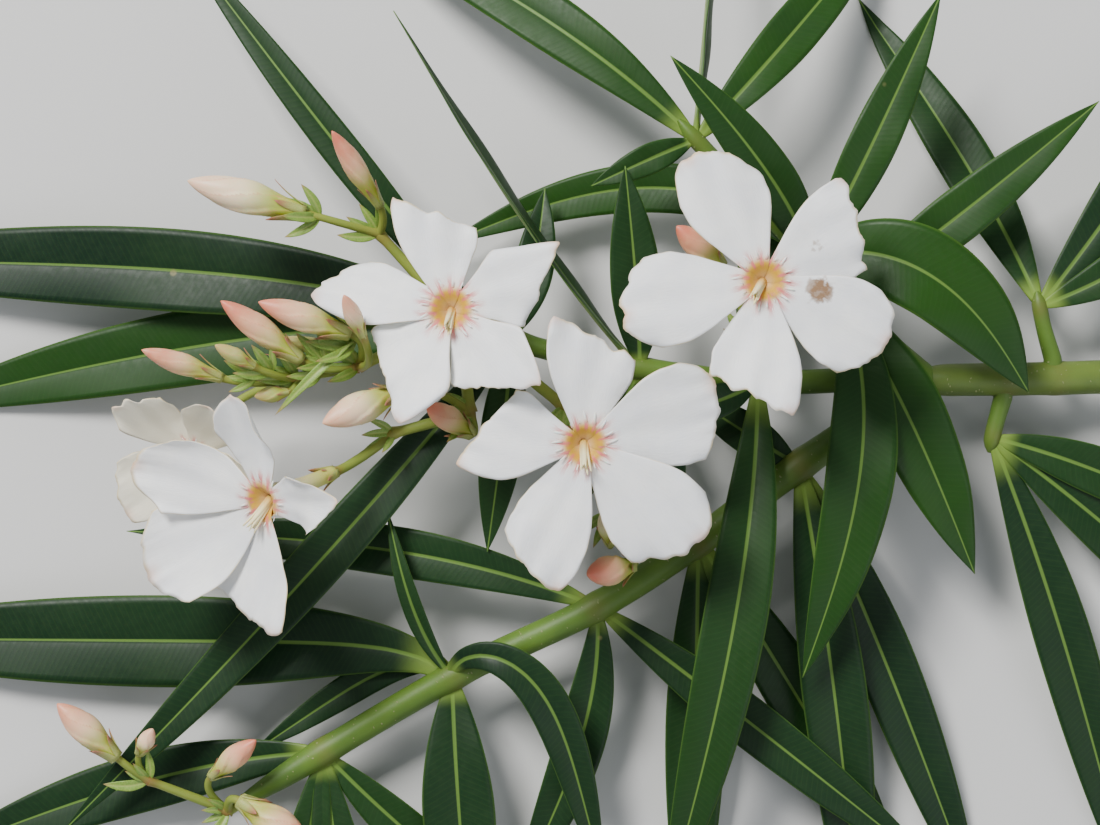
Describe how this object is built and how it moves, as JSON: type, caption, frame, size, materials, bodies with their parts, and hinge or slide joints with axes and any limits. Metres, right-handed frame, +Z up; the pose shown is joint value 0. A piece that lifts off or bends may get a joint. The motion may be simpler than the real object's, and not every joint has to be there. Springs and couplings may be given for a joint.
{
  "type": "flowering oleander branch",
  "caption": "Cut branch of a white-flowered shrub lying flat, with long narrow leaves in whorls, open funnel-shaped blooms and slim pointed buds.",
  "frame": {"origin": "under the middle of the whole branch, on the surface that it lies on", "axes": "+X along the main stem, towards its cut end; +Z up, the way the blooms look; +Y to the side away from the long lower shoot"},
  "size_m": [0.3214, 0.2482, 0.0622],
  "materials": {
    "stem": "smooth green bark with pale dots, greyer at the cut end",
    "shoot": "smooth fresh green bark",
    "leaf": "leathery, dark glossy green above and grey green below, with a pale midrib",
    "stalk": "smooth yellow green, red brown at the joints",
    "petal": "matt white with a faint cream margin and a yellow throat",
    "bud": "matt, pink at the tip, cream in the middle and yellow green at the foot"
  },
  "bodies": {
    "root": {"bloom_1": "petal", "bloom_2": "petal", "bloom_3": "petal", "bloom_4": "petal", "bloom_5": "petal", "bough_flowering": "shoot", "bough_lower": "shoot", "bough_upper": "shoot", "bud_1": "bud", "bud_10": "bud", "bud_11": "bud", "bud_12": "bud", "bud_13": "bud", "bud_14": "bud", "bud_2": "bud", "bud_3": "bud", "bud_4": "bud", "bud_5": "bud", "bud_6": "bud", "bud_7": "bud", "bud_8": "bud", "bud_9": "bud", "bud_stalks_lower": "stalk", "flower_stalk_right": "stalk", "flower_stalks": "stalk", "leaves_flowering_1": "leaf", "leaves_flowering_2": "leaf", "leaves_flowering_3": "leaf", "leaves_flowering_4": "leaf", "leaves_lower_1": "leaf", "leaves_lower_2": "leaf", "leaves_lower_3": "leaf", "leaves_lower_4": "leaf", "leaves_lower_5": "leaf", "leaves_right_1": "leaf", "leaves_under_1": "leaf", "leaves_upper_1": "leaf", "leaves_upper_2": "leaf", "leaves_upper_3": "leaf", "lower_bud_1": "bud", "lower_bud_2": "bud", "lower_bud_3": "bud", "lower_bud_4": "bud", "main_stem": "stem"}
  },
  "joints": []
}
